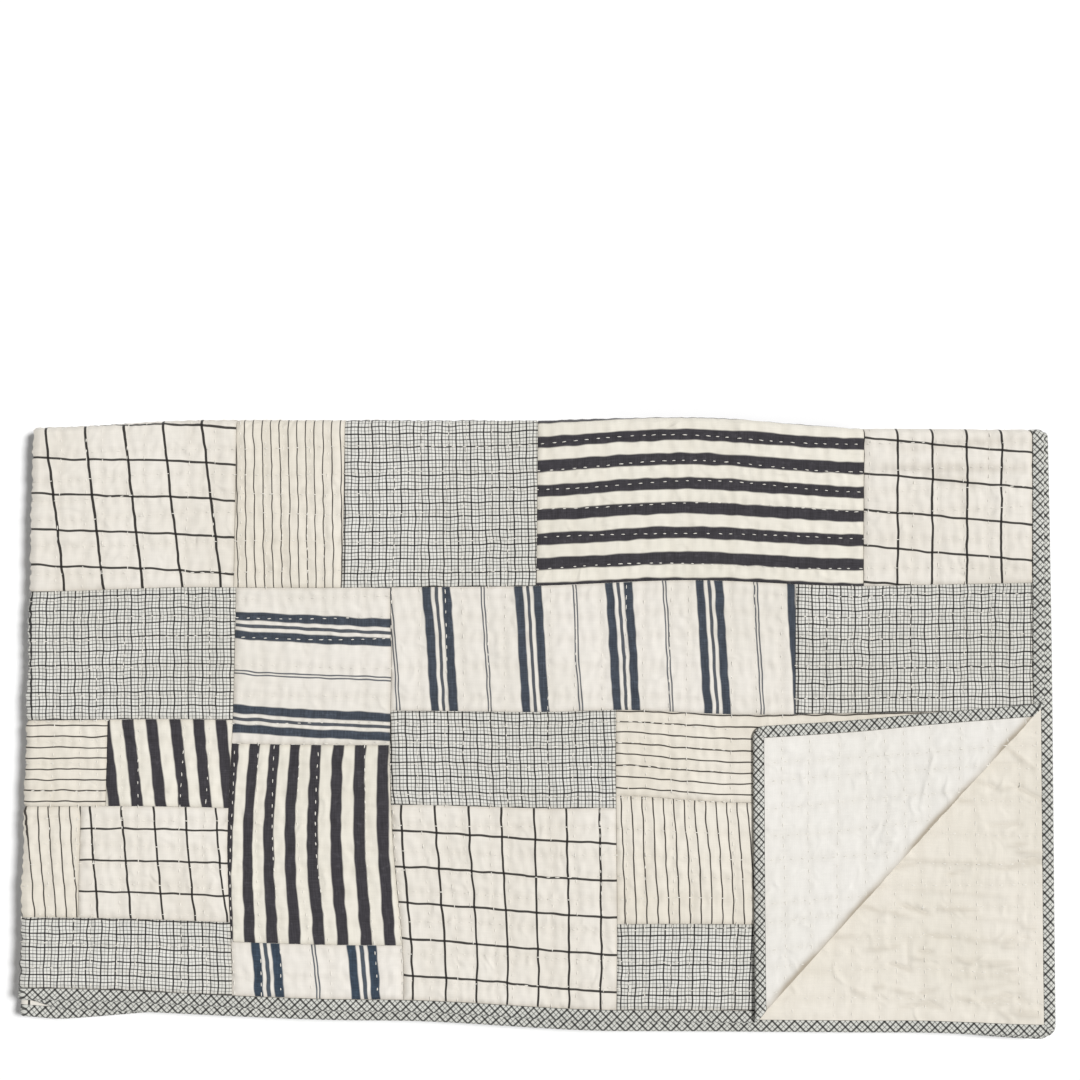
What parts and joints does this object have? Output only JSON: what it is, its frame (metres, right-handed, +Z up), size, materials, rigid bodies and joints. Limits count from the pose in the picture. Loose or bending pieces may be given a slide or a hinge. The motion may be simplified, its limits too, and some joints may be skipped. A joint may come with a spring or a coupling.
{
  "type": "folded patchwork quilt",
  "caption": "Hand-quilted patchwork bed quilt folded into a flat stack, one corner of the top layer turned back to show the plain backing, with a checked bias binding.",
  "frame": {"origin": "centre of the bounding box at its bottom, on the surface the folded quilt lies on", "axes": "+Z up through the layers, +X along the long side from the single fold towards the bound edges, +Y from the bound front edges towards the back fold"},
  "size_m": [1.1664, 0.705, 0.0423],
  "materials": {
    "pieced_cotton": "matt woven cotton, pieced from cream, charcoal and blue-grey stripes and checks",
    "backing_cotton": "matt plain woven cream cotton",
    "binding_cotton": "matt woven cotton, small bias check in off-black and off-white"
  },
  "bodies": {
    "root": {"patchwork_top": "pieced_cotton", "plain_backing": "backing_cotton", "edge_binding": "binding_cotton"}
  },
  "joints": []
}
